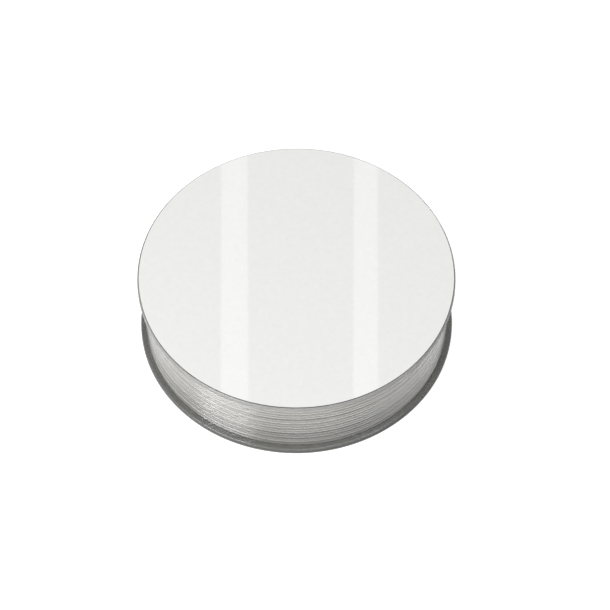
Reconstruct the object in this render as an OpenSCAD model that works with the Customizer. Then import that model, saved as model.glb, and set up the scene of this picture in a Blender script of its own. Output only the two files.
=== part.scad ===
// Small flat spool of clear nylon fishing line.
// The origin is on the spool's axis, in the plane that the spool rests on, with +Z up.

/* [Flanges] */
// Outside diameter of both flanges
flange_d = 70; // [66:1:90]
// Height of the plastic spool, without its top label
spool_h = 18; // [18:0.5:24]
// Thickness of each flange
flange_t = 1.3; // [1.2:0.1:1.6]
// Rounding of the flange edges
edge_r = 0.3; // [0.1:0.05:0.5]

/* [Hub] */
// Outside diameter of the barrel that the line is wound on
barrel_d = 44; // [40:1:46]
// Wall of the barrel, the spindle tube and the plug ring
wall_t = 1.4; // [1:0.1:1.6]
// Diameter of the spindle bore
bore_d = 10; // [8:0.5:12]
// Thickness of the ribs and gussets
rib_t = 1; // [0.8:0.1:1.4]
// Height of the ribs between the spindle tube and the barrel
rib_h = 6; // [4:0.5:7]
// Number of ribs, and of gussets behind the plug ring
rib_count = 6; // [3:1:8]

/* [Snap plug] */
// How far the upper half's plug ring reaches into the barrel
plug_len = 7; // [5:0.5:8]
// Radial clearance of the plug ring in the barrel
plug_gap = 0.05; // [0.03:0.01:0.1]

/* [Line] */
// Diameter of the nylon line
line_d = 0.9; // [0.5:0.05:1]
// How far the flanges stand out past the winding
winding_inset = 1.13; // [0.8:0.01:3]
// Gap between the barrel and the first turns
winding_gap = 0.2; // [0.1:0.05:0.3]
// Height of the anchor hole in the barrel above the rest plane
anchor_z = 2.2; // [2.2:0.1:4]
// Direction of the anchor hole, in degrees round the axis
anchor_az = 120; // [0:1:359]

/* [Labels and tape] */
// Thickness of the two printed labels
label_t = 0.2; // [0.1:0.05:0.3]
// Margin between the top label and the flange edge
top_label_margin = 0.25; // [0.1:0.05:1]
// Depth of the recess that the bottom label sits in
recess_depth = 0.4; // [0.3:0.05:0.5]
// Width of the ring that the spool rests on
foot_w = 3.6; // [2:0.1:5]
// Gap between the bottom label and the sides of its recess
label_gap = 0.3; // [0.2:0.05:0.6]
// Thickness of the tape tab
tape_t = 0.15; // [0.1:0.05:0.2]
// Width of the tape tab along the winding
tape_w = 14; // [8:1:20]
// Height of the tape tab
tape_h = 14.5; // [8:0.5:14.5]
// Direction of the tape tab, in degrees round the axis
tape_az = 102; // [0:1:359]

/* [Hidden] */
$fn = 96;

flange_r = flange_d / 2;
barrel_r = barrel_d / 2;
barrel_in_r = barrel_r - wall_t;
bore_r = bore_d / 2;
tube_r = bore_r + wall_t;
upper_z = spool_h - flange_t;
plug_r = barrel_in_r - plug_gap;
plug_z = upper_z - plug_len;
winding_in_r = barrel_r + winding_gap;
winding_r = flange_r - winding_inset;
// The upper half lifts off, so the turns stop just short of it.
winding_top_gap = 0.05;
// The spindle tube starts just inside the rest plane and stops short of the upper half.
tube_z = recess_depth;
tube_top_gap = 0.5;
// The ribs are set back from the rest plane.
rib_z = 1;
// A raised lip runs round the hub opening, inside the label recess.
lip_w = 1.8;
recess_in_r = barrel_in_r + lip_w;
recess_out_r = flange_r - foot_w;
anchor_r = line_d / 2 + 0.15;
// The knot lies flat inside the barrel, clear of its wall.
knot_r = 2.1 * line_d;
knot_h = 2 * line_d;
knot_at_r = barrel_in_r - knot_r - 0.4;
// How deep one solid enters another where the two are one moulding.
weld = 0.4;
// A length that cutting tools reach past the faces they cut.
past = 1;

// A disc's profile from the axis outwards, with both outer corners rounded.
module disc_profile(r, t, corner) {
    square([r - corner, t]);
    translate([0, corner]) square([r, t - 2 * corner]);
    for (z = [corner, t - corner]) translate([r - corner, z]) circle(r = corner, $fn = 32);
}

// A ring's profile between two radii, from height z0 up by h.
module ring_profile(inner, outer, z0, h) {
    translate([inner, z0]) square([outer - inner, h]);
}

// One row of flat webs, spaced evenly round the axis.
module webs(from_r, to_r, z0, h) {
    for (i = [0 : rib_count - 1])
        rotate([0, 0, (i + 0.5) * 360 / rib_count])
            translate([from_r, -rib_t / 2, z0])
                cube([to_r - from_r, rib_t, h]);
}

// One row of triangular gussets between the plug ring and the underside of the upper flange.
module gussets() {
    reach = (plug_r - wall_t - tube_r) / 2;
    for (i = [0 : rib_count - 1])
        rotate([0, 0, (i + 0.5) * 360 / rib_count])
            translate([plug_r - wall_t, rib_t / 2, upper_z])
                rotate([90, 0, 0])
                    linear_extrude(rib_t)
                        polygon([[weld, weld], [-reach, weld], [-reach, 0],
                                 [0, -plug_len + past], [weld, -plug_len + past]]);
}

// Lower flange, barrel, spindle tube and ribs, moulded in one piece.
module lower_half() {
    color([0.55, 0.56, 0.54, 0.7]) difference() {
        union() {
            rotate_extrude() difference() {
                union() {
                    disc_profile(flange_r, flange_t, edge_r);
                    ring_profile(barrel_in_r, barrel_r, weld, upper_z - weld);
                }
                ring_profile(0, barrel_in_r, -past, spool_h);
                ring_profile(recess_in_r, recess_out_r, -past, past + recess_depth);
            }
            rotate_extrude() ring_profile(bore_r, tube_r, tube_z, upper_z - tube_top_gap - tube_z);
            webs(bore_r + weld, barrel_r - weld, rib_z, rib_h);
        }
        rotate([0, 0, anchor_az])
            translate([barrel_in_r - past, 0, anchor_z])
                rotate([0, 90, 0])
                    cylinder(r = anchor_r, h = wall_t + 2 * past);
    }
}

// Upper flange with the plug ring that presses into the barrel.
module upper_half() {
    color([0.6, 0.61, 0.59, 0.7]) union() {
        rotate_extrude() {
            translate([0, upper_z]) disc_profile(flange_r, flange_t, edge_r);
            ring_profile(plug_r - wall_t, plug_r, plug_z, plug_len + weld);
        }
        gussets();
    }
}

// The wound line, as the outer shape of all its turns.
module line_winding() {
    color([0.8, 0.8, 0.78])
        rotate_extrude()
            ring_profile(winding_in_r, winding_r, flange_t,
                         upper_z - flange_t - winding_top_gap);
}

// The line's inner end, through the anchor hole to a knot inside the barrel.
module line_start_knot() {
    color([0.8, 0.8, 0.78])
        rotate([0, 0, anchor_az])
            translate([knot_at_r, 0, anchor_z]) {
                cylinder(r = knot_r, h = knot_h, center = true);
                rotate([0, 90, 0])
                    cylinder(d = line_d, h = winding_in_r - winding_gap / 4 - knot_at_r);
            }
}

// The tape tab that holds the line's outer end on the winding.
module end_tape() {
    angle = tape_w / winding_r * 180 / PI;
    color([0.95, 0.95, 0.93, 0.6])
        rotate([0, 0, tape_az - angle / 2])
            rotate_extrude(angle = angle)
                ring_profile(winding_r, winding_r + tape_t, (spool_h - tape_h) / 2, tape_h);
}

// Full round label on the upper flange.
module top_label() {
    color([0.93, 0.93, 0.92])
        translate([0, 0, spool_h])
            cylinder(r = flange_r - top_label_margin, h = label_t);
}

// Ring-shaped label in the recess under the lower flange.
module bottom_label() {
    color([0.93, 0.93, 0.92])
        rotate_extrude()
            ring_profile(recess_in_r + label_gap, recess_out_r - label_gap,
                         recess_depth - label_t, label_t);
}

lower_half();
upper_half();
line_winding();
line_start_knot();
end_tape();
top_label();
bottom_label();
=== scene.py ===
"""Fishing line spool: finishes, wound line, labels and tape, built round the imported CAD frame."""
import logging
import math
from dataclasses import dataclass, field
from enum import Enum

import bpy
import numpy as np
from mathutils import Matrix, Vector


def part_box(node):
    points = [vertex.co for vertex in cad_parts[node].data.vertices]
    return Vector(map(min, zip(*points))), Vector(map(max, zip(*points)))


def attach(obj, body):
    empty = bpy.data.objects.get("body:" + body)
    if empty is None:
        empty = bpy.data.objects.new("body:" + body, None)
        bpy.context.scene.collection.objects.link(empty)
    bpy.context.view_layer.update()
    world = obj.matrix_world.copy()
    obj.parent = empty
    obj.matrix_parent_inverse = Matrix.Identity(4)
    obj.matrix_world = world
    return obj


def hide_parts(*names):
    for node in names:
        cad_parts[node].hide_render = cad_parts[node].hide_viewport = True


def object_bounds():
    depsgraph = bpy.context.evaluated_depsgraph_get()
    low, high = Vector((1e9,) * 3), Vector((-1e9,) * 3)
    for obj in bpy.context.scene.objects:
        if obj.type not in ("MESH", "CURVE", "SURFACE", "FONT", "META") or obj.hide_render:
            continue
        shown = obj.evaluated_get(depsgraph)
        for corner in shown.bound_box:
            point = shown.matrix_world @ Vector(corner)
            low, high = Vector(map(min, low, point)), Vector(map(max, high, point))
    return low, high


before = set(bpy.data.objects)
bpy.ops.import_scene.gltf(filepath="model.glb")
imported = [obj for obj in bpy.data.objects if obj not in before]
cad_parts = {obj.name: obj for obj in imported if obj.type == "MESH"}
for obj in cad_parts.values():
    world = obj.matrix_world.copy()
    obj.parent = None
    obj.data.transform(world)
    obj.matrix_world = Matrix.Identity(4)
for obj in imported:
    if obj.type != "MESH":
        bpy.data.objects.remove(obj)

CAD_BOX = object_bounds()
MM = 0.001
TURN = 2.0 * math.pi
SEED = 20
# What the line, its knot and the tape share.
LINE_DIAMETER = 0.9 * MM
TURNS_IN_LAYER = 16
ANCHOR_DEG = 120.0
TAPE_DEG = 102.0

log = logging.getLogger("spool")


class Body(Enum):
    """The CAD bodies that pieces ride on."""

    LOWER = "lower_spool"
    UPPER = "upper_spool"


class Slot(Enum):
    """The record's material slots."""

    PLASTIC = "smoke_plastic"
    LINE = "nylon_line"
    LABEL = "label_laminate"
    TAPE = "clear_tape"


class Mask(Enum):
    """The numbers that pieces carry on their points for their finishes."""

    # Each turn's own random tone, with painted shade low down and in the grooves.
    TONE_AND_SHADE = "turn_tone_and_shade"
    # The ring at a label's cut edge where shade is painted.
    CUT = "painted_edge_shade"
    LIFTED = "lifted"


# ---------------------------------------------------------------- surfaces


def grid_quads(rows: int, cols: int, wrap_rows: bool, wrap_cols: bool) -> np.ndarray:
    """Joins a grid of points into quads. Point (i, j) has index i * cols + j.

    Args:
        rows: Number of rows of points.
        cols: Number of points in a row.
        wrap_rows: True if the last row joins the first.
        wrap_cols: True if the last column joins the first.

    Returns:
        An array of quads, one row of four indices each.
    """
    i = np.arange(rows if wrap_rows else rows - 1)
    j = np.arange(cols if wrap_cols else cols - 1)
    i, j = (a.ravel() for a in np.meshgrid(i, j, indexing="ij"))
    i_next, j_next = (i + 1) % rows, (j + 1) % cols
    corners = (i * cols + j, i * cols + j_next, i_next * cols + j_next, i_next * cols + j)
    return np.stack(corners, axis=1)


def make_piece(
    name: str, points: np.ndarray, faces: list[np.ndarray], finish: bpy.types.Material
) -> bpy.types.Object:
    """Makes a smooth mesh object from arrays of points and faces.

    Args:
        name: The piece's name.
        points: The points, in metres in the row frame.
        faces: Arrays of faces, each with one number of corners.
        finish: The piece's material.

    Returns:
        The new object, at the origin.
    """
    mesh = bpy.data.meshes.new(name)
    polygons = [tuple(face) for block in faces for face in block.tolist()]
    mesh.from_pydata(points.tolist(), [], polygons)
    mesh.polygons.foreach_set("use_smooth", np.ones(len(mesh.polygons), bool))
    mesh.update()
    piece = bpy.data.objects.new(name, mesh)
    bpy.context.scene.collection.objects.link(piece)
    mesh.materials.append(finish)
    return piece


def set_mask(piece: bpy.types.Object, mask: Mask, values: np.ndarray) -> None:
    """Gives each point of a piece a number that its finish reads by the mask's name."""
    attribute = piece.data.attributes.new(mask.value, "FLOAT", "POINT")
    attribute.data.foreach_set("value", values.astype(np.float32))


def lathe_ring(profile: np.ndarray, segments: int) -> tuple[np.ndarray, list[np.ndarray]]:
    """Turns a closed outline about the Z axis.

    A point at radius r and height z goes to (r cos a, r sin a, z) for every angle a of the turn.

    Args:
        profile: Points (r, z) round the outline, anticlockwise with r to the right.
        segments: Number of steps in the turn.

    Returns:
        The points, and the faces.
    """
    angle = np.arange(segments) * TURN / segments
    r, z = profile[:, 0], profile[:, 1]
    ring = np.stack([np.outer(np.cos(angle), r), np.outer(np.sin(angle), r),
                     np.broadcast_to(z, (segments, len(z)))], axis=2)
    return ring.reshape(-1, 3), [grid_quads(segments, len(r), True, True)[:, ::-1]]


def lathe_disc(profile: np.ndarray, segments: int) -> tuple[np.ndarray, list[np.ndarray]]:
    """Turns an outline that starts and ends on the Z axis, with one point at each pole.

    Args:
        profile: Points (r, z) from the lower pole, out and back to the upper pole.
        segments: Number of steps in the turn.

    Returns:
        The points, and the faces.
    """
    points, (quads,) = lathe_ring(profile[1:-1], segments)
    cols = len(profile) - 2
    quads = quads[(np.abs(quads % cols - np.roll(quads % cols, 1, axis=1)) < 2).all(axis=1)]
    low, high = len(points), len(points) + 1
    j = np.arange(segments)
    k = (j + 1) % segments
    low_fan = np.stack([np.full(segments, low), k * cols, j * cols], axis=1)
    high_fan = np.stack([np.full(segments, high), (j + 1) * cols - 1, (k + 1) * cols - 1], axis=1)
    poles = [[0.0, 0.0, profile[0, 1]], [0.0, 0.0, profile[-1, 1]]]
    return np.concatenate([points, poles]), [quads, low_fan, high_fan]


def arc(centre: tuple[float, float], radius: float, start: float, end: float, steps: int) -> np.ndarray:
    """Points on an arc of a circle, from one angle to another, in degrees."""
    a = np.radians(np.linspace(start, end, steps + 1))
    return np.stack([centre[0] + radius * np.cos(a), centre[1] + radius * np.sin(a)], axis=1)


def tube_along(path: np.ndarray, radius: np.ndarray, sides: int) -> tuple[np.ndarray, list[np.ndarray]]:
    """Carries a circle along a path, with a flat cap at each end.

    At each point of the path the circle stands across the path's tangent. Its first axis is the
    part of the Z axis, or for a steep path of the X axis, that is square to the tangent.

    Args:
        path: The centreline's points.
        radius: The tube's radius at each point.
        sides: Number of points round the circle.

    Returns:
        The points, and the faces.
    """
    tangent = np.gradient(path, axis=0)
    tangent /= np.linalg.norm(tangent, axis=1, keepdims=True)
    steep = np.abs(tangent[:, 2:]).max() > 0.9
    up = np.array([1.0, 0.0, 0.0]) if steep else np.array([0.0, 0.0, 1.0])
    first = up - (tangent @ up)[:, None] * tangent
    first /= np.linalg.norm(first, axis=1, keepdims=True)
    second = np.cross(tangent, first)
    a = np.arange(sides) * TURN / sides
    circle = first[:, None] * np.cos(a)[None, :, None] + second[:, None] * np.sin(a)[None, :, None]
    points = (path[:, None] + radius[:, None, None] * circle).reshape(-1, 3)
    last = (len(path) - 1) * sides
    caps = [np.arange(sides)[None, ::-1], last + np.arange(sides)[None]]
    return points, [grid_quads(len(path), sides, False, True)[:, ::-1], *caps]


def smoothstep(x: np.ndarray) -> np.ndarray:
    """Goes from 0 to 1 with a level start and end, as 3x^2 - 2x^3."""
    x = np.clip(x, 0.0, 1.0)
    return x * x * (3.0 - 2.0 * x)


def radii(node: str) -> tuple[float, float]:
    """Measures how far a CAD node's points lie from the Z axis.

    Args:
        node: The node's name.

    Returns:
        The least and the greatest distance.
    """
    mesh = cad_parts[node].data
    co = np.zeros(len(mesh.vertices) * 3, np.float32)
    mesh.vertices.foreach_get("co", co)
    r = np.hypot(*co.reshape(-1, 3)[:, :2].T)
    return float(r.min()), float(r.max())


# ---------------------------------------------------------------- shader parts


class Nodes:
    """A short way to place and join the nodes of one tree."""

    def __init__(self, tree: bpy.types.NodeTree) -> None:
        """Keeps the tree that the nodes go into."""
        self.tree = tree

    def add(self, kind: str, **settings: object) -> bpy.types.Node:
        """Adds a node.

        Args:
            kind: The node's type, without the leading ShaderNode.
            **settings: Its properties.

        Returns:
            The node.
        """
        node = self.tree.nodes.new(f"ShaderNode{kind}")
        for key, value in settings.items():
            setattr(node, key, value)
        return node

    def join(self, source: bpy.types.NodeSocket, target: bpy.types.NodeSocket) -> None:
        """Links one socket to another."""
        self.tree.links.new(source, target)

    def mask(self, mask: Mask) -> bpy.types.NodeSocket:
        """Reads a mask of the piece and gives the socket of its value."""
        return self.add("Attribute", attribute_name=mask.value).outputs["Fac"]

    def noise(
        self, place: bpy.types.NodeSocket, scale: float, detail: float, rough: float = 0.5
    ) -> bpy.types.NodeSocket:
        """Adds a noise texture.

        Args:
            place: The coordinates to read.
            scale: How many features there are to a metre.
            detail: Number of finer octaves.
            rough: How strong the finer octaves are.

        Returns:
            The socket of the noise's value.
        """
        node = self.add("TexNoise")
        node.inputs["Scale"].default_value = scale
        node.inputs["Detail"].default_value = detail
        node.inputs["Roughness"].default_value = rough
        self.join(place, node.inputs["Vector"])
        return node.outputs["Fac"]

    def remap(
        self, value: bpy.types.NodeSocket, low: float, high: float, to_low: float, to_high: float
    ) -> bpy.types.NodeSocket:
        """Stretches a value's range, held at both ends.

        Args:
            value: The value.
            low: Where the range starts.
            high: Where it ends.
            to_low: What the start becomes.
            to_high: What the end becomes.

        Returns:
            The socket of the result.
        """
        node = self.add("MapRange", clamp=True)
        self.join(value, node.inputs["Value"])
        for socket, number in zip(node.inputs[1:5], (low, high, to_low, to_high)):
            socket.default_value = number
        return node.outputs["Result"]

    def blend(
        self, factor: bpy.types.NodeSocket, first: tuple[float, ...], second: tuple[float, ...]
    ) -> bpy.types.NodeSocket:
        """Mixes two colours.

        Args:
            factor: How much of the second colour there is, from 0 to 1.
            first: The first colour.
            second: The second colour.

        Returns:
            The socket of the result.
        """
        node = self.add("Mix", data_type="RGBA")
        self.join(factor, node.inputs["Factor"])
        node.inputs["A"].default_value = (*first, 1.0)
        node.inputs["B"].default_value = (*second, 1.0)
        return node.outputs["Result"]

    def combine(
        self, operation: str, first: bpy.types.NodeSocket, second: bpy.types.NodeSocket
    ) -> bpy.types.NodeSocket:
        """Joins two numbers by a sum, a product or a maximum.

        Args:
            operation: The Math node's operation.
            first: The first number.
            second: The second number.

        Returns:
            The socket of the result.
        """
        node = self.add("Math", operation=operation)
        self.join(first, node.inputs[0])
        self.join(second, node.inputs[1])
        return node.outputs["Value"]

    def shade(
        self, colour: bpy.types.NodeSocket, strength: bpy.types.NodeSocket
    ) -> bpy.types.NodeSocket:
        """Multiplies a colour by a number.

        Args:
            colour: The colour.
            strength: The number.

        Returns:
            The socket of the result.
        """
        node = self.add("VectorMath", operation="MULTIPLY")
        self.join(colour, node.inputs[0])
        self.join(strength, node.inputs[1])
        return node.outputs["Vector"]


def new_group(name: str, inputs: dict[str, float], outputs: tuple[str, ...]) -> bpy.types.NodeTree:
    """Makes an empty shader group with a Place input and named sockets.

    Args:
        name: The group's name.
        inputs: Each number input's name and usual value.
        outputs: The names of the value outputs.

    Returns:
        The group's node tree.
    """
    group = bpy.data.node_groups.new(name, "ShaderNodeTree")
    group.interface.new_socket("Place", in_out="INPUT", socket_type="NodeSocketVector")
    for key, value in inputs.items():
        socket = group.interface.new_socket(key, in_out="INPUT", socket_type="NodeSocketFloat")
        socket.default_value = value
    for key in outputs:
        group.interface.new_socket(key, in_out="OUTPUT", socket_type="NodeSocketFloat")
    return group


@dataclass(frozen=True)
class HandlingMarks:
    """The fine marks that handling leaves: faint smears, and hairlines across them.

    Attributes:
        smears_per_m: Smears in a metre.
        smear_range: Where in the noise a smear starts and is full.
        hairlines_per_m: Hairlines in a metre.
        hairline_range: Where in the noise a hairline starts and is full.
        hairline_stretch: How many times longer than wide a hairline is.
        hairline_turn: The hairlines' angle to the X axis, in radians.
    """

    smears_per_m: float = 90.0
    smear_range: tuple[float, float] = (0.42, 0.72)
    hairlines_per_m: float = 260.0
    hairline_range: tuple[float, float] = (0.66, 0.74)
    hairline_stretch: float = 14.0
    hairline_turn: float = 0.6

    def build(self) -> bpy.types.NodeTree:
        """Makes the shader group.

        Returns:
            A group whose Roughness is the base roughness plus both marks.
        """
        inputs = {"Base": 0.1, "Smear": 0.05, "Hairline": 0.05}
        group = new_group("handling_marks", inputs, ("Roughness",))
        n = Nodes(group)
        given = group.nodes.new("NodeGroupInput")
        smears = n.noise(given.outputs["Place"], self.smears_per_m, detail=3.0)
        smear = n.remap(smears, *self.smear_range, 0.0, 1.0)
        stretch = n.add("Mapping")
        stretch.inputs["Scale"].default_value = (1.0, self.hairline_stretch, 1.0)
        stretch.inputs["Rotation"].default_value = (0.0, 0.0, self.hairline_turn)
        n.join(given.outputs["Place"], stretch.inputs["Vector"])
        hairlines = n.noise(stretch.outputs["Vector"], self.hairlines_per_m, detail=2.0)
        hairline = n.remap(hairlines, *self.hairline_range, 0.0, 1.0)
        total = given.outputs["Base"]
        for mark, amount in ((smear, "Smear"), (hairline, "Hairline")):
            total = n.combine("ADD", total, n.combine("MULTIPLY", mark, given.outputs[amount]))
        out = group.nodes.new("NodeGroupOutput")
        n.join(total, out.inputs["Roughness"])
        return group


def new_material(name: str) -> tuple[bpy.types.Material, Nodes, bpy.types.Node]:
    """Makes a material with an empty Principled shader.

    Args:
        name: The material's name.

    Returns:
        The material, its node helper and its shader.
    """
    material = bpy.data.materials.new(name)
    material.use_nodes = True
    return material, Nodes(material.node_tree), material.node_tree.nodes["Principled BSDF"]


@dataclass(frozen=True)
class Finish:
    """What every finish has.

    Attributes:
        name: The material's name.
        roughness: The roughness between the marks.
        ior: The refractive index.
        smear: How much rougher a smear is.
        hairline: How much rougher a hairline is.
        mark_height: How high the finish's own grain stands.
    """

    name: str
    roughness: float
    ior: float
    smear: float = 0.03
    hairline: float = 0.04
    mark_height: float = 0.02 * MM

    def begin(self, marks: bpy.types.NodeTree) -> tuple[bpy.types.Material, Nodes, bpy.types.Node,
                                                       bpy.types.NodeSocket]:
        """Makes the material with its handling marks.

        Args:
            marks: The group of handling marks.

        Returns:
            The material, its node helper, its shader and the Object coordinates.
        """
        material, n, shader = new_material(self.name)
        place = n.add("TexCoord").outputs["Object"]
        group = n.add("Group")
        group.node_tree = marks
        group.inputs["Base"].default_value = self.roughness
        group.inputs["Smear"].default_value = self.smear
        group.inputs["Hairline"].default_value = self.hairline
        n.join(place, group.inputs["Place"])
        n.join(group.outputs["Roughness"], shader.inputs["Roughness"])
        shader.inputs["IOR"].default_value = self.ior
        return material, n, shader, place

    def bump(self, n: Nodes, shader: bpy.types.Node, height: bpy.types.NodeSocket) -> None:
        """Joins the finish's grain to the shader's normal.

        Args:
            n: The material's node helper.
            shader: The Principled shader.
            height: The grain's height, from 0 to 1.
        """
        bump = n.add("Bump")
        bump.inputs["Distance"].default_value = self.mark_height
        n.join(height, bump.inputs["Height"])
        n.join(bump.outputs["Normal"], shader.inputs["Normal"])


@dataclass(frozen=True)
class SmokePlastic(Finish):
    """Clear polystyrene with a light smoke tint, and a faint flow pattern from its mould.

    Attributes:
        tint: The darker colour of the flow pattern.
        pale: The paler colour of the flow pattern.
        clear: How much light goes through.
        grain_per_m: Features of the pattern in a metre.
        grain_range: Where in the noise the pattern starts to turn pale, and is pale.
    """

    tint: tuple[float, float, float] = (0.43, 0.43, 0.405)
    pale: tuple[float, float, float] = (0.49, 0.49, 0.465)
    clear: float = 0.72
    grain_per_m: float = 1400.0
    grain_range: tuple[float, float] = (0.35, 0.65)
    mark_height: float = 0.006 * MM

    def make(self, marks: bpy.types.NodeTree) -> bpy.types.Material:
        """Builds the material.

        Args:
            marks: The group of handling marks.

        Returns:
            The material.
        """
        material, n, shader, place = self.begin(marks)
        grain = n.noise(place, self.grain_per_m, detail=3.0, rough=0.6)
        flow = n.remap(grain, *self.grain_range, 0.0, 1.0)
        n.join(n.blend(flow, self.tint, self.pale), shader.inputs["Base Color"])
        shader.inputs["Transmission Weight"].default_value = self.clear
        self.bump(n, shader, grain)
        return material


@dataclass(frozen=True)
class NylonLine(Finish):
    """Clear nylon line, which is silvery where many turns lie together.

    Attributes:
        deep: The colour where the tone is 0.
        bright: The colour where the tone is 1.
        clear: How much light goes through.
        specular: The strength of its reflections.
        flecks_per_m: Flecks in its surface in a metre.
    """

    deep: tuple[float, float, float] = (0.105, 0.102, 0.094)
    bright: tuple[float, float, float] = (0.615, 0.602, 0.560)
    clear: float = 0.45
    specular: float = 0.7
    flecks_per_m: float = 2600.0
    mark_height: float = 0.003 * MM

    def make(self, marks: bpy.types.NodeTree) -> bpy.types.Material:
        """Builds the material, whose colour follows the tone of each turn and the painted shade in it.

        Args:
            marks: The group of handling marks.

        Returns:
            The material.
        """
        material, n, shader, place = self.begin(marks)
        # The tone carries painted shade: darker low down and on the side facing into the groove.
        tone = n.mask(Mask.TONE_AND_SHADE)
        n.join(n.blend(tone, self.deep, self.bright), shader.inputs["Base Color"])
        shader.inputs["Transmission Weight"].default_value = self.clear
        shader.inputs["Specular IOR Level"].default_value = self.specular
        self.bump(n, shader, n.noise(place, self.flecks_per_m, detail=2.0))
        return material


@dataclass(frozen=True)
class LabelLaminate(Finish):
    """White paper under a clear gloss film: fibres show faintly, and painted shade greys the cut edge.

    Attributes:
        paper: The paper's colour.
        fibre: The colour of its fibres.
        fibres_per_m: Fibres in a metre.
        fibre_range: Where in the noise a fibre starts and is full.
        film_roughness: The gloss film's roughness.
        film_ior: The gloss film's refractive index.
        edge_shade_keep: How much of the paper's colour the painted shade leaves on the cut edge.
    """

    paper: tuple[float, float, float] = (0.750, 0.750, 0.734)
    fibre: tuple[float, float, float] = (0.782, 0.782, 0.766)
    fibres_per_m: float = 900.0
    fibre_range: tuple[float, float] = (0.3, 0.7)
    film_roughness: float = 0.02
    film_ior: float = 1.5
    edge_shade_keep: float = 0.08

    def make(self, marks: bpy.types.NodeTree) -> bpy.types.Material:
        """Builds the material.

        Args:
            marks: The group of handling marks.

        Returns:
            The material.
        """
        material, n, shader, place = self.begin(marks)
        fibres = n.noise(place, self.fibres_per_m, detail=5.0, rough=0.65)
        paper = n.blend(n.remap(fibres, *self.fibre_range, 0.0, 1.0), self.paper, self.fibre)
        # Painted shade: the paper is darkened at its cut edge.
        cut = n.mask(Mask.CUT)
        edge_keep = n.remap(cut, 0.0, 1.0, 1.0, self.edge_shade_keep)
        n.join(n.shade(paper, edge_keep), shader.inputs["Base Color"])
        shader.inputs["Coat Weight"].default_value = 1.0
        shader.inputs["Coat Roughness"].default_value = self.film_roughness
        shader.inputs["Coat IOR"].default_value = self.film_ior
        shader.inputs["Specular IOR Level"].default_value = 0.0
        return material


@dataclass(frozen=True)
class ClearTape(Finish):
    """Clear tape: a thin, slightly yellow film, milky where it bridges the grooves of the line.

    Attributes:
        colour: The colour where the tape lies on a turn.
        milky: The colour where it bridges a groove.
        cover: How much of the line it hides where it lies on a turn.
        lifted_cover: How much it hides where it bridges a groove.
        patches_per_m: Uneven patches in a metre.
        patch_range: Where in the noise a patch starts and is full.
        patch_least: How milky a bridge is outside the patches.
    """

    colour: tuple[float, float, float] = (0.62, 0.61, 0.565)
    milky: tuple[float, float, float] = (0.80, 0.79, 0.76)
    cover: float = 0.26
    lifted_cover: float = 0.52
    patches_per_m: float = 500.0
    patch_range: tuple[float, float] = (0.3, 0.6)
    patch_least: float = 0.7

    def make(self, marks: bpy.types.NodeTree) -> bpy.types.Material:
        """Builds the material.

        Args:
            marks: The group of handling marks.

        Returns:
            The material.
        """
        material, n, shader, place = self.begin(marks)
        lifted = n.mask(Mask.LIFTED)
        patches = n.noise(place, self.patches_per_m, detail=3.0)
        patch = n.remap(patches, *self.patch_range, self.patch_least, 1.0)
        uneven = n.combine("MULTIPLY", lifted, patch)
        n.join(n.blend(uneven, self.colour, self.milky), shader.inputs["Base Color"])
        n.join(n.remap(uneven, 0.0, 1.0, self.cover, self.lifted_cover), shader.inputs["Alpha"])
        return material


# ---------------------------------------------------------------- pieces


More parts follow.
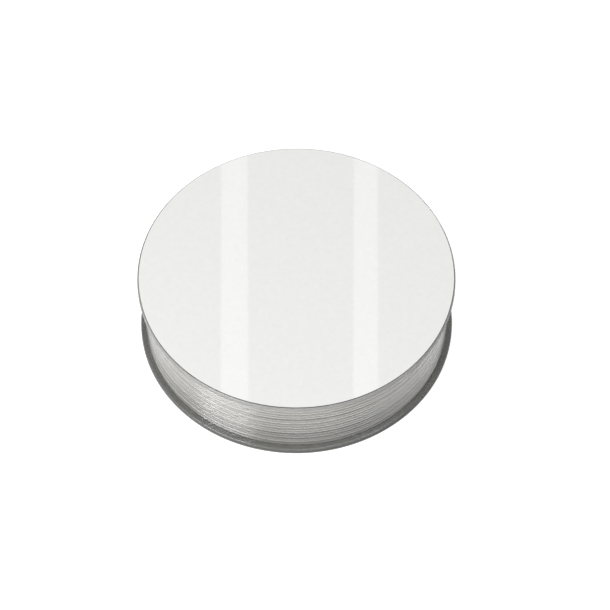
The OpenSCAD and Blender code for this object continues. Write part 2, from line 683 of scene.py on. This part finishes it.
@dataclass
class LineWinding:
    """The line from the anchor hole to the tape, wound in layers that nest in each other.

    Attributes:
        finish: The line's material.
        diameter: The line's diameter.
        turns: Turns in a layer.
        layers: Layers from the barrel out.
        start_deg: Where each turn starts, over the anchor hole.
        end_deg: Where the line's outer end lies, under the tape.
        crossover: The share of a turn in which the line steps to its next place.
        sides: Points round the line.
        hidden_steps: Points in a turn that lies among the others.
        seen_steps: Points in a turn of the outer layer, or next to the upper flange.
        seen_depth: How far below the top turns a turn counts as next to the flange, in pitches.
        wander: How far an outer turn strays along the axis.
        waves: Waves of that straying in a turn.
        sink: How far an outer turn sinks between the turns below it.
        own_share: The share of a tone that is the turn's own. Painted shade by height gives the rest.
        least_own: The least strength of a turn's own tone.
        streak: How strong the slow wave in a turn's tone is.
        height_shade_rate: How fast the tone rises, as the painted shade fades, from the lower flange to
            the upper.
        height_shade_start: Where in that rise the lower flange stands.
        groove: How much painted shade darkens the side that faces down into the groove.
        groove_shade_from: Where that painted shade starts, as the cosine of the angle from straight up.
        path: The centreline's points, once it is built.
        length: The line's length, once it is built.
    """

    finish: bpy.types.Material
    diameter: float = LINE_DIAMETER
    turns: int = TURNS_IN_LAYER
    layers: int = 15
    start_deg: float = ANCHOR_DEG
    end_deg: float = TAPE_DEG
    crossover: float = 0.1
    sides: int = 8
    hidden_steps: int = 30
    seen_steps: int = 144
    seen_depth: float = 0.75
    wander: float = 0.014 * MM
    waves: int = 2
    sink: float = 0.06 * MM
    own_share: float = 0.46
    least_own: float = 0.25
    streak: float = 0.15
    height_shade_rate: float = 0.95
    height_shade_start: float = 0.19
    groove: float = 0.9
    groove_shade_from: float = 0.6
    path: np.ndarray = field(init=False, repr=False)
    length: float = field(init=False, repr=False)

    def places(self) -> tuple[np.ndarray, np.ndarray]:
        """Where each turn lies.

        Turns stand one pitch apart between the flanges. Every second layer is half a pitch
        higher, and is wound downwards, so its turns lie in the grooves of the one below.

        Returns:
            The radius and the height of every turn, from the first to the last.
        """
        low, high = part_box("line_winding")
        r_in, r_out = radii("line_winding")
        pitch = (high.z - low.z) / (self.turns + 0.5)
        layer = np.repeat(np.arange(self.layers), self.turns)
        place = np.tile(np.arange(self.turns), self.layers)
        upward = layer % 2 == 0
        place = np.where(upward, place, self.turns - 1 - place)
        z = low.z + pitch * (place + np.where(upward, 0.5, 1.0))
        r = np.linspace(r_in + self.diameter / 2, r_out - self.diameter / 2, self.layers)[layer]
        return r, z

    def route(self) -> tuple[np.ndarray, np.ndarray]:
        """The centreline, and how many turns have been made at each of its points.

        Within a turn the line runs level, and at its end it steps to the next turn's place along
        a smooth curve. The outer turns also sink a little between the turns below them, each by
        an amount of its own, and wander along the axis as slow waves round the spool.

        Returns:
            The points, and the count of turns at each.
        """
        rng = np.random.default_rng(SEED)
        r_turn, z_turn = self.places()
        count = self.turns * self.layers
        hidden = count - self.turns
        stop = count - (self.start_deg - self.end_deg) / 360.0
        turn = np.arange(count)
        top = z_turn > z_turn.max() - self.seen_depth * (z_turn[1] - z_turn[0])
        steps = np.where((turn >= hidden) | top, self.seen_steps, self.hidden_steps)
        first = np.cumsum(steps) - steps
        done = (np.arange(steps.sum()) - np.repeat(first, steps)) / np.repeat(steps, steps)
        t = np.repeat(turn, steps) + done
        # The end takes the place of any point that would crowd it.
        t = np.append(t[t < stop - 0.5 / self.seen_steps], stop)
        n = np.minimum(t.astype(int), count - 1)
        after = np.minimum(n + 1, count - 1)
        step = smoothstep((t - n - 1.0 + self.crossover) / self.crossover)
        r = r_turn[n] + (r_turn[after] - r_turn[n]) * step
        z = z_turn[n] + (z_turn[after] - z_turn[n]) * step
        outer = smoothstep(t - hidden)
        angle = math.radians(self.start_deg) + TURN * t
        sunk = rng.random(count) * self.sink
        phase = rng.random(count) * TURN
        slow = self.waves * angle
        wave = np.sin(slow + phase[n]) * (1 - step) + np.sin(slow + phase[after]) * step
        r = r - outer * (sunk[n] + (sunk[after] - sunk[n]) * step)
        z = z + outer * self.wander * wave
        low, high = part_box("line_winding")
        z = np.clip(z, low.z + self.diameter / 2, high.z - self.diameter / 2)
        return np.stack([r * np.cos(angle), r * np.sin(angle), z], axis=1), t

    def tones_and_shade(self, t: np.ndarray, z: np.ndarray) -> np.ndarray:
        """How bright the line looks at each point of its surface.

        Bright and deep turns alternate, each with a strength of its own, and a slow wave comes
        and goes along each. Painted shade makes the turns low down, over the grey flange, deeper
        than those under the white label, and makes the side of the line that faces down into the
        groove deeper than the rest.

        Args:
            t: The count of turns at each point of the route.
            z: The height of each point of the route.

        Returns:
            A tone from 0, deep, to 1, bright, for every point round every circle of the tube.
        """
        rng = np.random.default_rng(SEED + 1)
        # Spare turns follow the last, so that each turn has a next one.
        turn = np.arange(self.turns * self.layers + 2)
        strength = self.least_own + (1.0 - self.least_own) * rng.random(len(turn))
        phase = rng.random(len(turn)) * TURN
        n = t.astype(int)
        own = 0.5 + 0.5 * np.where(turn % 2, strength, -strength)
        step = smoothstep((t - n - 1.0 + self.crossover) / self.crossover)
        drift = own[n] + (own[n + 1] - own[n]) * step
        drift = drift + self.streak * np.sin(TURN * t + phase[n]) * (1.0 - step)
        low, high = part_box("line_winding")
        # Painted shade: the tone is darker towards the lower flange.
        height_shade = smoothstep((z - low.z) / (high.z - low.z) * self.height_shade_rate + self.height_shade_start)
        along = np.clip(self.own_share * drift + (1.0 - self.own_share) * height_shade, 0.0, 1.0)
        # Painted shade on the side of the line that faces down into the groove.
        up = np.cos(np.arange(self.sides) * TURN / self.sides)
        return np.outer(along, 1.0 - self.groove * smoothstep(self.groove_shade_from - up)).ravel()

    def build(self) -> bpy.types.Object:
        """Makes the line as one tube, and keeps its path and length.

        Returns:
            The line's object.
        """
        path, t = self.route()
        radius = np.full(len(path), self.diameter / 2)
        points, faces = tube_along(path, radius, self.sides)
        piece = make_piece("nylon_line", points, faces, self.finish)
        set_mask(piece, Mask.TONE_AND_SHADE, self.tones_and_shade(t, path[:, 2]))
        self.path = path
        self.length = float(np.linalg.norm(np.diff(path, axis=0), axis=1).sum())
        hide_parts("line_winding")
        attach(piece, Body.LOWER.value)
        return piece


@dataclass
class StartKnot:
    """The overhand knot that holds the line's inner end inside the barrel.

    Attributes:
        finish: The line's material.
        line_diameter: The line's diameter.
        anchor_deg: Where the anchor hole is.
        loop: The size of the knot's loop.
        open_angle: How much of the loop is left open at each end.
        set_in: How far the loop's middle lies inside the first turn.
        tail: The length of the cut end.
        sides: Points round the line.
        loop_steps: Points along the loop.
        lead_steps: Points along each end.
        passes: How many times the corners are smoothed.
        tone: How bright the line looks, from 0 to 1.
    """

    finish: bpy.types.Material
    line_diameter: float = LINE_DIAMETER
    anchor_deg: float = ANCHOR_DEG
    loop: float = 0.5 * MM
    open_angle: float = 0.30
    set_in: float = 4.55 * MM
    tail: float = 1.1 * MM
    sides: int = 12
    loop_steps: int = 120
    lead_steps: int = 12
    passes: int = 6
    tone: float = 0.5

    def build(self) -> bpy.types.Object:
        """Makes the knot, with the stretch that runs out through the anchor hole.

        The loop is a trefoil: x = sin t + 2 sin 2t, y = cos t - 2 cos 2t, z = -sin 3t, opened
        where it starts. One end runs out through the barrel's wall, and the other is cut short.

        Returns:
            The knot's object.
        """
        low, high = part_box("line_start_knot")
        _, reach = radii("line_start_knot")
        t = np.linspace(self.open_angle, TURN - self.open_angle, self.loop_steps)
        knot = np.stack([np.sin(t) + 2 * np.sin(2 * t), np.cos(t) - 2 * np.cos(2 * t),
                         -np.sin(3 * t)], axis=1) * self.loop
        centre_r = reach - self.set_in
        lead = np.linspace(0.0, 1.0, self.lead_steps)[:, None]
        ends = []
        for corner, side in ((knot[0], 1.0), (knot[-1], -1.0)):
            goal = (np.array([reach - centre_r, 0.0, 0.0]) if side > 0
                    else corner + np.array([-self.tail, 0.0, 0.0]))
            ends.append(corner + (goal - corner) * lead[1:])
        path = np.concatenate([ends[0][::-1], knot, ends[1]])
        smooth = path.copy()
        for _ in range(self.passes):
            smooth[1:-1] = (smooth[:-2] + 2 * smooth[1:-1] + smooth[2:]) / 4
        a = math.radians(self.anchor_deg)
        outward = np.array([math.cos(a), math.sin(a), 0.0])
        round_way = np.array([-math.sin(a), math.cos(a), 0.0])
        centre = outward * centre_r + np.array([0.0, 0.0, (low.z + high.z) / 2])
        world = centre + smooth[:, :1] * outward + smooth[:, 1:2] * round_way + smooth[:, 2:] * [0, 0, 1]
        points, faces = tube_along(world, np.full(len(world), self.line_diameter / 2), self.sides)
        piece = make_piece("start_knot", points, faces, self.finish)
        set_mask(piece, Mask.TONE_AND_SHADE, np.full(len(points), self.tone))
        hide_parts("line_start_knot")
        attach(piece, Body.LOWER.value)
        return piece


@dataclass
class Label:
    """A thin round label, whole or with a hole, with its cut edge slightly rounded.

    Attributes:
        node: The CAD node that it stands for.
        name: The piece's name.
        body: The body that it rides on.
        finish: Its material.
        edge: The rounding of its cut edge.
        edge_steps: Steps in the arc of a rounding.
        edge_band: How far from the edge the first ring of points on its face is.
        outer_edge_shade: How wide the painted shade at the outer cut edge is, in roundings.
        inner_edge_shade: How wide the painted shade at the hole's cut edge is, in roundings.
        rim_only: A node whose nearest point is past this share of its radius has no hole, since
            a disc's CAD mesh has points only on its rim.
        glue: The gap left under it.
        segments: Steps in a turn.
        rows: Rings of points on each face.
    """

    node: str
    name: str
    body: Body
    finish: bpy.types.Material
    edge: float = 0.05 * MM
    edge_steps: int = 3
    edge_band: float = 0.12 * MM
    outer_edge_shade: float = 2.2
    inner_edge_shade: float = 1.5
    rim_only: float = 0.9
    glue: float = 0.01 * MM
    segments: int = 288
    rows: int = 10

    def build(self) -> bpy.types.Object:
        """Makes the label in the space of its CAD node.

        Returns:
            The label's object.
        """
        low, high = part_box(self.node)
        r_in, r_out = radii(self.node)
        whole = r_in > self.rim_only * r_out
        r_out = min(r_out, high.x)
        e, steps = self.edge, self.edge_steps
        under_z = low.z + self.glue
        outer = np.concatenate([arc((r_out - e, under_z + e), e, -90, 0, steps),
                                arc((r_out - e, high.z - e), e, 0, 90, steps)])
        spokes = np.linspace(0.0 if whole else r_in + self.edge_band, r_out - self.edge_band, self.rows)
        if whole:
            spokes = np.append(spokes, r_out - 2 * e)
        under = np.stack([spokes, np.full_like(spokes, under_z)], axis=1)
        over = np.stack([spokes[::-1], np.full_like(spokes, high.z)], axis=1)
        if whole:
            points, faces = lathe_disc(np.concatenate([under, outer, over]), self.segments)
        else:
            inner = np.concatenate([arc((r_in + e, high.z - e), e, 90, 180, steps),
                                    arc((r_in + e, under_z + e), e, 180, 270, steps)])
            points, faces = lathe_ring(np.concatenate([outer, over, inner, under]), self.segments)
        piece = make_piece(self.name, points, faces, self.finish)
        r = np.hypot(points[:, 0], points[:, 1])
        # The ring at each cut edge that gets painted shade.
        hole = 0.0 if whole else r_in + self.inner_edge_shade * e
        cut = (r > r_out - self.outer_edge_shade * e) | (r < hole)
        set_mask(piece, Mask.CUT, cut)
        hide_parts(self.node)
        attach(piece, self.body.value)
        return piece


@dataclass
class TapeTab:
    """The tab of clear tape pressed over the line's outer end.

    Attributes:
        finish: Its material.
        centre_deg: Where its middle is.
        width: Its width round the spool.
        film: Its thickness.
        glue: The gap between the tape and the turns.
        dip: How far it dips into a groove.
        lifted_full: How lifted it counts at the bottom of a groove. Past 1 is fully lifted.
        lifted_fall: How fast that falls towards a crest.
        teeth: Teeth in each cut end.
        tooth: The depth of a tooth.
        crests: Turns of the line under it.
        cols: Points round the spool.
        rows: Points along the axis.
    """

    finish: bpy.types.Material
    centre_deg: float = TAPE_DEG
    width: float = 14.0 * MM
    film: float = 0.06 * MM
    glue: float = 0.01 * MM
    dip: float = 0.05 * MM
    lifted_full: float = 1.4
    lifted_fall: float = 2.0
    teeth: int = 15
    tooth: float = 0.45 * MM
    crests: int = TURNS_IN_LAYER
    cols: int = 60
    rows: int = 120

    def build(self) -> bpy.types.Object:
        """Makes the tape as a thin closed sheet that follows the turns under it.

        The sheet's radius dips a little between crests, as a cosine along the axis, and both of
        its cut ends run in and out as a row of teeth.

        Returns:
            The tape's object.
        """
        low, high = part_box("end_tape")
        _, r_top = radii("end_tape")
        r_line = radii("line_winding")[1]
        v = np.linspace(0.0, 1.0, self.rows)
        u = np.linspace(-0.5, 0.5, self.cols)
        z = low.z + (high.z - low.z) * v
        saw = np.abs((v * self.teeth) % 1.0 - 0.5) * 2 * self.tooth
        reach = self.width - 2 * saw
        angle = math.radians(self.centre_deg) + np.outer(reach, u) / r_line
        wind_low, wind_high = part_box("line_winding")
        pitch = (wind_high.z - wind_low.z) / (self.crests + 0.5)
        wave = 0.5 - 0.5 * np.cos(TURN * (z - wind_low.z) / pitch)
        inner = (r_line + self.glue - self.dip * (1 - wave))[:, None] + np.zeros_like(angle)
        outer = np.minimum(inner + self.film, r_top)
        sheets = [np.stack([r * np.cos(angle), r * np.sin(angle),
                            np.broadcast_to(z[:, None], angle.shape)], axis=2).reshape(-1, 3)
                  for r in (outer, inner)]
        quads = grid_quads(self.rows, self.cols, False, False)
        size = self.rows * self.cols
        rim = np.concatenate([np.arange(self.cols), np.arange(1, self.rows) * self.cols + self.cols - 1,
                              (self.rows - 1) * self.cols + np.arange(self.cols - 2, -1, -1),
                              np.arange(self.rows - 2, 0, -1) * self.cols])
        ahead = np.roll(rim, -1)
        side = np.stack([rim, rim + size, ahead + size, ahead], axis=1)
        piece = make_piece("tape_tab", np.concatenate(sheets),
                           [quads, quads[:, ::-1] + size, side], self.finish)
        lifted = smoothstep(self.lifted_full - self.lifted_fall * wave)
        set_mask(piece, Mask.LIFTED, np.tile(np.repeat(lifted, self.cols), 2))
        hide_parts("end_tape")
        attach(piece, Body.LOWER.value)
        return piece


@dataclass
class PlasticBody:
    """The two moulded halves, whose CAD shapes stay and get the plastic's finish.

    Attributes:
        finishes: Each half's node and its finish.
    """

    finishes: dict[str, bpy.types.Material]

    def dress(self) -> None:
        """Gives each half its finish."""
        for node, finish in self.finishes.items():
            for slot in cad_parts[node].material_slots:
                slot.material = finish
            log.info("dressed %s", node)


# ---------------------------------------------------------------- studio


@dataclass(frozen=True)
class GlossBand:
    """A bright band that a strip light leaves in the label.

    Attributes:
        middle: Where its middle line crosses the X axis.
        width: Its width on the label.
    """

    middle: float
    width: float


@dataclass(frozen=True)
class Softbox:
    """A square soft light.

    Attributes:
        name: Its name.
        place: Where its middle is.
        side: The length of its side.
        power: Its power in watts.
    """

    name: str
    place: tuple[float, float, float]
    side: float
    power: float


@dataclass
class Studio:
    """The floor, the lights and the camera.

    Attributes:
        elevation: The camera's height above the horizon, in degrees.
        distance: From the camera to the point it looks at.
        aim: That point, from the middle of the spool.
        lens: The camera's focal length, in millimetres.
        sensor: The width of its sensor, in millimetres.
        near: The nearest that it sees.
        far: The farthest that it sees.
        room: The strength of the room's light.
        floor_half: Half the floor's side.
        floor_drop: How far the floor lies under the spool.
        floor_dark: The darker grey of the floor's grain.
        floor_pale: The paler grey of the floor's grain.
        floor_grain_per_m: Features of the grain in a metre.
        floor_roughness: The floor's roughness.
        floor_glow: How strongly the floor glows.
        glow_inset: How far inside the spool's edge the glow starts to rise out of the painted contact
            shadow.
        shadow_width: How far outside the edge the glow is full and the painted contact shadow ends.
        painted_shade_width: How far round the spool the painted shade reaches, in which the floor sends
            less light back.
        painted_shade_albedo: The share that it sends back at the spool's edge, under the painted shade.
        strip_height: The height of the strip lights above the label.
        strip_radiance: Their brightness.
        strip_overrun: How much longer than the label a strip's mirror image is.
        softbox_aim: The height on the axis that the softboxes face.
        softboxes: The soft lights.
        bands: The bands in the label, each from one strip light.
    """

    elevation: float = 55.68
    distance: float = 0.5530
    aim: tuple[float, float, float] = (0.00190, -0.00140, -0.0011)
    lens: float = 146.5
    sensor: float = 36.0
    near: float = 0.01
    far: float = 20.0
    room: float = 0.33
    floor_half: float = 3.0
    floor_drop: float = 0.05 * MM
    floor_dark: tuple[float, float, float] = (0.80, 0.80, 0.80)
    floor_pale: tuple[float, float, float] = (0.82, 0.82, 0.82)
    floor_grain_per_m: float = 60.0
    floor_roughness: float = 0.9
    floor_glow: float = 0.6
    glow_inset: float = 0.1 * MM
    shadow_width: float = 0.15 * MM
    painted_shade_width: float = 7.0 * MM
    painted_shade_albedo: float = 0.3
    strip_height: float = 0.6
    strip_radiance: float = 1.6
    strip_overrun: float = 1.4
    softbox_aim: float = 0.01
    softboxes: tuple[Softbox, ...] = (
        Softbox("key", (-0.47, -0.48, 0.38), 0.4, 6.1),
        Softbox("high", (0.42, -0.05, 0.75), 0.5, 1.4),
        Softbox("front", (0.10, -0.55, 0.60), 0.4, 0.9),
        Softbox("back", (0.30, 0.65, 0.16), 0.3, 2.4),
    )
    bands: tuple[GlossBand, ...] = (GlossBand(-0.0136, 0.0059), GlossBand(0.01525, 0.0053))

    def place_camera(self) -> Vector:
        """Puts the camera in front of and above the spool.

        Returns:
            Where the camera is.
        """
        low, high = CAD_BOX
        middle = (Vector(low) + Vector(high)) / 2
        tilt = math.radians(self.elevation)
        target = middle + Vector(self.aim)
        back = Vector((0.0, -math.cos(tilt), math.sin(tilt)))
        data = bpy.data.cameras.new("camera")
        data.lens, data.sensor_width = self.lens, self.sensor
        data.clip_start, data.clip_end = self.near, self.far
        camera = bpy.data.objects.new("camera", data)
        camera.location = target + back * self.distance
        camera.rotation_euler = (math.pi / 2 - tilt, 0.0, 0.0)
        bpy.context.scene.collection.objects.link(camera)
        bpy.context.scene.camera = camera
        return camera.location.copy()

    def lay_floor(self) -> None:
        """Lays a plain pale floor a hair under the spool.

        The camera sees it glow a little, as paper on a light table does. The glow lights nothing
        else, and it fades out at the edge of the spool as a painted contact shadow. Close to the
        spool the floor sends less light back up than it shows to the camera: painted shade.
        """
        half, z = self.floor_half, -self.floor_drop
        corners = np.array([[-half, -half, z], [half, -half, z], [half, half, z], [-half, half, z]])
        material, n, shader = new_material("floor_paper")
        place = n.add("TexCoord").outputs["Object"]
        grain = n.noise(place, self.floor_grain_per_m, detail=3.0)
        paper = n.blend(grain, self.floor_dark, self.floor_pale)
        shader.inputs["Roughness"].default_value = self.floor_roughness
        shader.inputs["Specular IOR Level"].default_value = 0.0
        length = n.add("VectorMath", operation="LENGTH")
        n.join(place, length.inputs[0])
        away = length.outputs["Value"]
        rim = CAD_BOX[1][0]
        camera = n.add("LightPath").outputs["Is Camera Ray"]
        # Painted contact shadow: the glow, and the paper's colour for the camera, fade out at the
        # spool's edge.
        clear = n.remap(away, rim - self.glow_inset, rim + self.shadow_width, 0.0, 1.0)
        n.join(n.blend(clear, (0.0, 0.0, 0.0), (1.0, 1.0, 1.0)), shader.inputs["Emission Color"])
        n.join(n.remap(camera, 0.0, 1.0, 0.0, self.floor_glow), shader.inputs["Emission Strength"])
        # Painted shade: near the spool the paper is darker to everything but the camera.
        near_shade = n.remap(away, rim, rim + self.painted_shade_width, self.painted_shade_albedo, 1.0)
        painted_shadow_and_shade = n.combine("MAXIMUM", near_shade, n.combine("MULTIPLY", camera, clear))
        n.join(n.shade(paper, painted_shadow_and_shade), shader.inputs["Base Color"])
        make_piece("floor", corners, [np.array([[0, 1, 2, 3]])], material)

    def light_room(self) -> None:
        """Fills the room with soft white light, with walls that look white to the camera."""
        world = bpy.data.worlds.new("room")
        world.use_nodes = True
        n = Nodes(world.node_tree)
        background = world.node_tree.nodes["Background"]
        background.inputs["Color"].default_value = (1.0, 1.0, 1.0, 1.0)
        seen = n.remap(n.add("LightPath").outputs["Is Camera Ray"], 0.0, 1.0, self.room, 1.0)
        n.join(seen, background.inputs["Strength"])
        bpy.context.scene.world = world

    def area_light(self, name: str, size: tuple[float, float], power: float, matrix: Matrix) -> None:
        """Adds one rectangular light.

        Args:
            name: The light's name.
            size: Its width and length.
            power: Its power in watts.
            matrix: Where it is. It shines down its own Z axis.
        """
        data = bpy.data.lights.new(name, "AREA")
        data.shape, data.size, data.size_y, data.energy = "RECTANGLE", *size, power
        light = bpy.data.objects.new(name, data)
        light.matrix_world = matrix
        bpy.context.scene.collection.objects.link(light)

    def hang_strips(self, eye: Vector) -> None:
        """Hangs one strip light for each band that shows in the label.

        A strip is where the camera sees the band's mirror image: the band's middle line on the
        label, scaled up from the camera's foot by one plus the strip's height over the camera's.

        Args:
            eye: Where the camera is.
        """
        label_low, label_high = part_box("top_label")
        rise = eye.z - label_high.z
        scale = 1.0 + self.strip_height / rise
        foot = Vector((eye.x, eye.y, 0.0))
        vanish = Vector((eye.x, eye.y - rise * math.tan(math.radians(self.elevation)), 0.0))
        length = self.strip_overrun * (label_high.y - label_low.y) * scale
        for i, band in enumerate(self.bands):
            on_label = Vector((band.middle, 0.0, 0.0))
            along = (on_label - vanish).normalized()
            spot = foot + (on_label - foot) * scale
            turn = math.atan2(-along.x, along.y)
            width = band.width * scale
            place = Matrix.Translation((spot.x, spot.y, label_high.z + self.strip_height))
            self.area_light(f"strip_{i}", (width, length),
                            self.strip_radiance * math.pi * width * length,
                            place @ Matrix.Rotation(turn, 4, "Z"))

    def hang_softboxes(self) -> None:
        """Hangs the large soft lights, each turned to face the spool."""
        target = Vector((0.0, 0.0, self.softbox_aim))
        for box in self.softboxes:
            spot = Vector(box.place)
            aim = (target - spot).to_track_quat("-Z", "Y").to_matrix().to_4x4()
            self.area_light(box.name, (box.side, box.side), box.power, Matrix.Translation(spot) @ aim)

    def build(self) -> None:
        """Makes the whole studio."""
        eye = self.place_camera()
        self.lay_floor()
        self.light_room()
        self.hang_strips(eye)
        self.hang_softboxes()
        view = bpy.context.scene.view_settings
        view.view_transform, view.look = "Standard", "None"


def main() -> None:
    """Builds the studio and every piece of the spool."""
    logging.basicConfig(level=logging.INFO, format="%(name)s: %(message)s")
    Studio().build()
    marks = HandlingMarks().build()
    smoke = SmokePlastic("smoke_polystyrene", roughness=0.22, ior=1.59)
    # The upper half is a paler copy of the same plastic: painted light from the white label behind it.
    lit_smoke = SmokePlastic("smoke_polystyrene_painted_light", roughness=0.22, ior=1.59,
                          tint=(0.55, 0.55, 0.53), pale=(0.62, 0.62, 0.60), clear=0.55)
    nylon = NylonLine("nylon", roughness=0.2, ior=1.53).make(marks)
    laminate = LabelLaminate("laminate", roughness=0.5, ior=1.5).make(marks)
    tape = ClearTape("tape", roughness=0.12, ior=1.49).make(marks)

    winding = LineWinding(nylon)
    line = winding.build()
    knot = StartKnot(nylon).build()
    log.info("line: %.2f m in %d turns", winding.length, winding.turns * winding.layers)

    PlasticBody({"lower_half": smoke.make(marks), "upper_half": lit_smoke.make(marks)}).dress()
    pieces = [
        line,
        knot,
        TapeTab(tape).build(),
        Label("top_label", "label_top", Body.UPPER, laminate).build(),
        Label("bottom_label", "label_bottom", Body.LOWER, laminate).build(),
    ]
    for piece in pieces:
        log.info("%s: %d faces", piece.name, len(piece.data.polygons))


if __name__ == "__main__":
    main()
